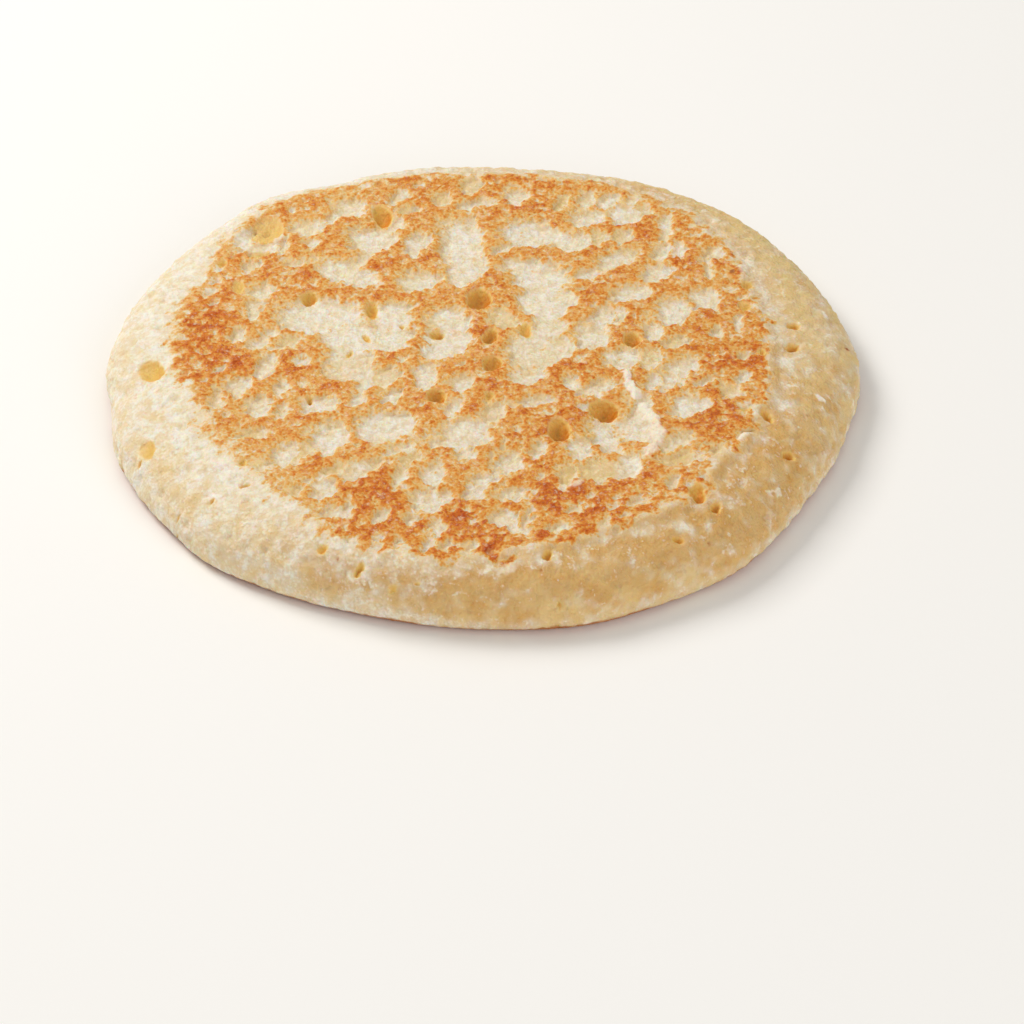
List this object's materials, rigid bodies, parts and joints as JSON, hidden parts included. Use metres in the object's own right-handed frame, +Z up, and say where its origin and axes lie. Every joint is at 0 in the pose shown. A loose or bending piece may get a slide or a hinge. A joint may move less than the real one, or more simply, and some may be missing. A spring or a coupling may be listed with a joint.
{
  "type": "pancake",
  "caption": "Thick round griddle pancake, flat browned face on top with a pale lacy pattern and open bubbles, pale rolled side, flat underside to rest on.",
  "frame": {"origin": "on the table, under the middle of the pancake's outline", "axes": "+Z up through the thickness, +X to the right and -Y towards the diner, as the pancake was seen"},
  "size_m": [0.1104, 0.1028, 0.0103],
  "materials": {
    "griddled_batter": "soft dry crumb, cream at the side, golden to orange brown where it met the griddle"
  },
  "bodies": {
    "root": {"pancake": "griddled_batter"}
  },
  "joints": []
}
